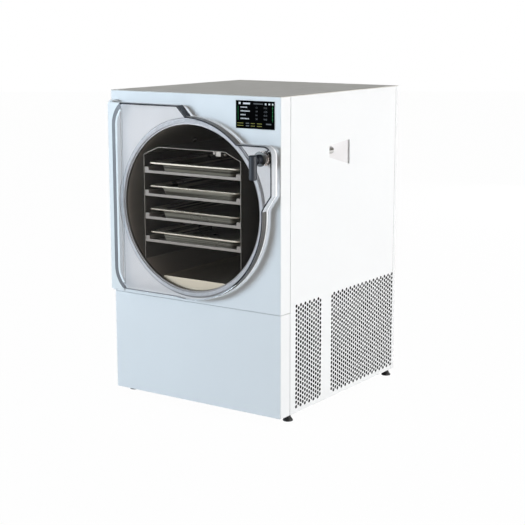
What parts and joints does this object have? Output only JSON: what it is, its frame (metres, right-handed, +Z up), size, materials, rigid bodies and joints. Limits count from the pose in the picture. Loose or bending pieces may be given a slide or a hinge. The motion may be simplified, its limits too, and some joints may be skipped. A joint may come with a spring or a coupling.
{
  "type": "benchtop freeze dryer",
  "caption": "White cabinet freeze dryer with a clear swinging chamber door, tray rack, touchscreen, perforated side and side vacuum port.",
  "frame": {"origin": "bottom centre of the whole object, on the floor under the middle of its width and depth", "axes": "+X to the right seen from the front, +Y from the door to the back, +Z up"},
  "size_m": [0.415, 0.5346, 0.637],
  "materials": {
    "painted_white": "satin white powder coat",
    "zinc_sheet": "zinc plated sheet",
    "pocket_plastic": "light grey moulded tub",
    "stainless": "satin stainless",
    "steel": "machined stainless",
    "black_rubber": "matt black",
    "seal_rubber": "grey silicone",
    "copper": "drawn copper tube",
    "foam": "rigid foam",
    "acrylic": "clear polished acrylic",
    "black_plastic": "fine texture black",
    "black_paint": "black paint",
    "aluminium": "mill finish",
    "board": "green solder mask",
    "white_plastic": "white moulded",
    "screen_glass": "dark display glass"
  },
  "bodies": {
    "cabinet": {"base_pan": "zinc_sheet", "front_upper_panel": "painted_white", "front_lower_panel": "painted_white", "side_panel_right": "painted_white", "side_panel_left": "painted_white", "top_panel": "painted_white", "rear_panel": "painted_white", "hose_pocket": "pocket_plastic", "vacuum_port": "steel", "vacuum_line": "copper", "levelling_feet": "black_rubber", "foot_lock_nuts": "zinc_sheet", "panel_screws": "zinc_sheet", "chamber_drum": "stainless", "chamber_flange": "stainless", "door_gasket": "seal_rubber", "evaporator_coil": "copper", "chamber_insulation": "foam", "chamber_cradle": "zinc_sheet", "chamber_probe": "stainless", "drain_line": "white_plastic", "drain_valve_body": "steel", "compressor": "black_paint", "compressor_grommets": "black_rubber", "condenser_coil": "aluminium", "fan_shroud": "black_paint", "fan_motor": "black_paint", "filter_drier": "copper", "refrigerant_lines": "copper", "control_board": "board", "board_standoffs": "white_plastic", "power_inlet": "black_plastic", "switch_housing": "black_plastic", "touchscreen_body": "white_plastic", "touchscreen_glass": "screen_glass", "hinge_bracket_top": "painted_white", "hinge_bracket_bottom": "painted_white", "latch_keeper": "zinc_sheet", "rack_frame": "stainless", "heater_pads": "black_rubber", "drip_pan": "stainless", "rack_plug": "black_plastic", "shelf_1": "stainless", "tray_1": "stainless", "shelf_2": "stainless", "tray_2": "stainless", "shelf_3": "stainless", "tray_3": "stainless", "shelf_4": "stainless", "tray_4": "stainless"},
    "door": {"door_plate": "acrylic", "hinge_leaf": "painted_white", "latch_bushing": "steel", "latch_nut": "steel"},
    "latch": {"latch_spindle": "steel", "latch_handle": "black_plastic", "latch_dog": "steel"},
    "fan": {"fan_blades": "black_plastic"},
    "rocker": {"power_rocker": "black_plastic"},
    "drain_lever": {"drain_valve_lever": "black_plastic"}
  },
  "joints": [
    {"name": "door_swing", "type": "hinge", "parent": "cabinet", "child": "door", "pos_m": [-0.1935, -0.22565, 0.412], "axis": [0, 0, -1], "range_deg": [0, 115]},
    {"name": "latch_turn", "type": "hinge", "parent": "door", "child": "latch", "pos_m": [0.176, -0.23265, 0.522], "axis": [0, 1, 0], "range_deg": [0, 90]},
    {"name": "fan_spin", "type": "hinge", "parent": "cabinet", "child": "fan", "pos_m": [0.1275, 0.10235, 0.117], "axis": [1, 0, 0], "continuous": true},
    {"name": "rocker_tilt", "type": "hinge", "parent": "cabinet", "child": "rocker", "pos_m": [-0.15, 0.23335, 0.127], "axis": [1, 0, 0], "range_deg": [0, 20]},
    {"name": "drain_lever_turn", "type": "hinge", "parent": "cabinet", "child": "drain_lever", "pos_m": [0.04, 0.24665, 0.209], "axis": [0, 0, 1], "range_deg": [0, 90]}
  ]
}
